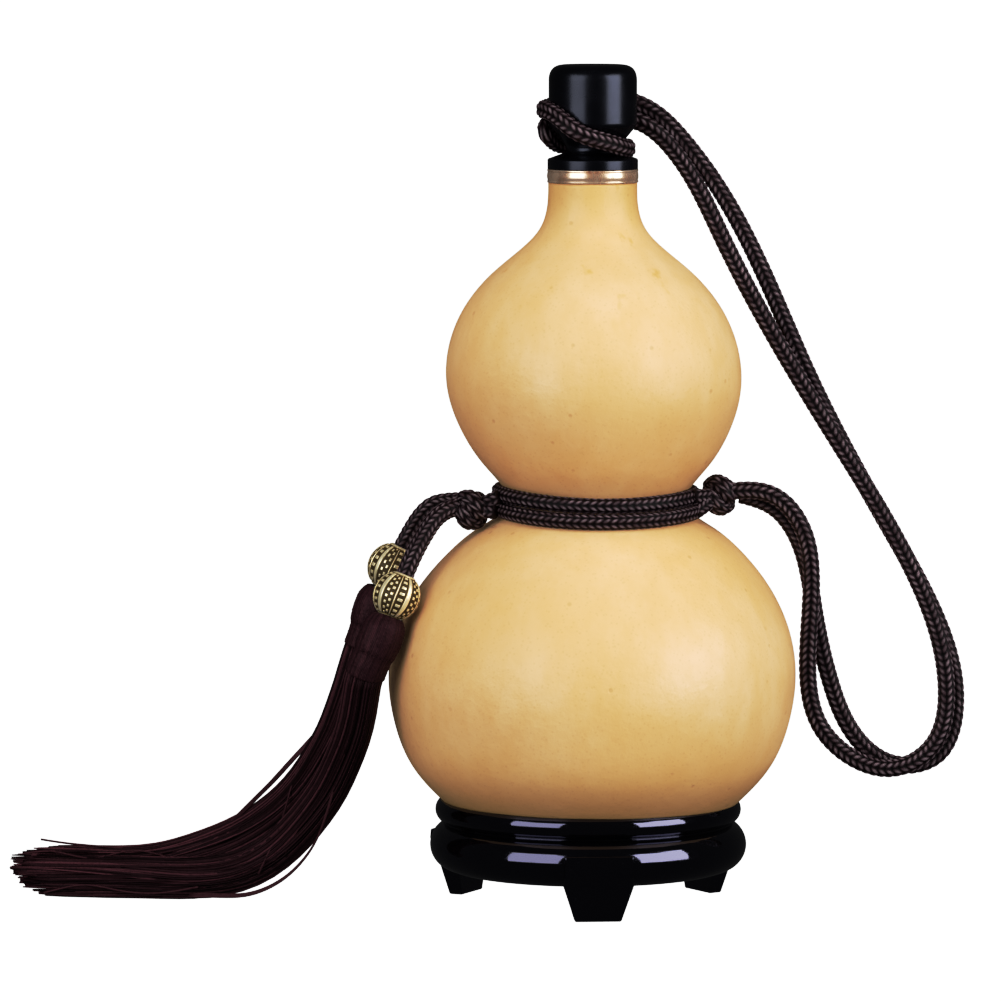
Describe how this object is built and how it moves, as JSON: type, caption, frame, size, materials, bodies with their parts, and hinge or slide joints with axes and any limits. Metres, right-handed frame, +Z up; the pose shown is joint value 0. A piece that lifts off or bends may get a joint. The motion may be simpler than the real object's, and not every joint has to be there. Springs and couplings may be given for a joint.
{
  "type": "dried bottle gourd",
  "caption": "Double-lobed dried gourd with a turned stopper, braided carrying cord, metal beads and silk tassels, standing in a round lacquered stand on low feet.",
  "frame": {"origin": "on the table under the middle of the gourd, at the bottom of its stand's feet", "axes": "+Z up along the gourd, +X to its right with the carrying loop, -Y towards its front"},
  "size_m": [0.2099, 0.0901, 0.1873],
  "materials": {
    "gourd_skin": "matte dry gourd skin, faintly mottled, with small brown specks",
    "ring_brass": "polished, slightly worn",
    "black_stopper": "satin black",
    "black_lacquer": "glossy black lacquer",
    "braided_cord": "dark brown herringbone braid",
    "bead_brass": "antique, dark in the recesses and bright on the relief",
    "tassel_silk": "dark plum-brown silk thread"
  },
  "bodies": {
    "root": {"gourd": "gourd_skin", "mouth_ring": "ring_brass", "stopper": "black_stopper", "stand_body": "black_lacquer", "stand_foot_1": "black_lacquer", "stand_foot_2": "black_lacquer", "stand_foot_3": "black_lacquer", "cord_loop": "braided_cord", "knot_right": "braided_cord", "waist_turn_upper": "braided_cord", "waist_turn_lower": "braided_cord", "knot_left": "braided_cord", "cord_drop_front": "braided_cord", "cord_drop_back": "braided_cord", "bead_front": "bead_brass", "bead_back": "bead_brass", "tassel_front_cap": "tassel_silk", "tassel_back_cap": "tassel_silk", "tassel_front_fringe": "tassel_silk", "tassel_back_fringe": "tassel_silk"}
  },
  "joints": []
}
